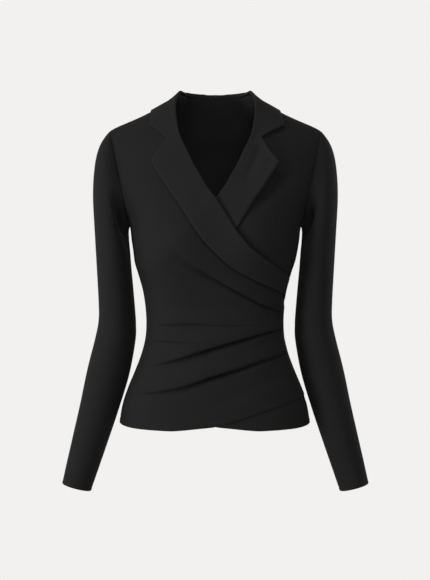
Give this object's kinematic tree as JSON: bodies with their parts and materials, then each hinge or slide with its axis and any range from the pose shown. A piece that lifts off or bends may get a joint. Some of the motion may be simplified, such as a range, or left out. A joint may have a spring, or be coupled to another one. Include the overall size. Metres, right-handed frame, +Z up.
{
  "type": "wrap top",
  "caption": "Fitted long-sleeved knit wrap top, worn form, hollow, with a notched collar and pleats caught into one side seam.",
  "frame": {"origin": "midway between the two neck points of the shoulder seams, at the depth of the shoulder line, where the wearer's shoulders carry the top", "axes": "+Z up, the front faces -Y, +X is the wearer's left"},
  "size_m": [0.5156, 0.2318, 0.6774],
  "materials": {
    "knit": "matte fine-gauge black knit",
    "collar_knit": "matte fine-gauge black knit, two layers"
  },
  "bodies": {
    "root": {"back": "knit", "front_right": "knit", "front_left": "knit", "sleeve_right": "knit", "sleeve_left": "knit", "collar_lapel_right": "collar_knit", "collar_lapel_left": "collar_knit"}
  },
  "joints": []
}
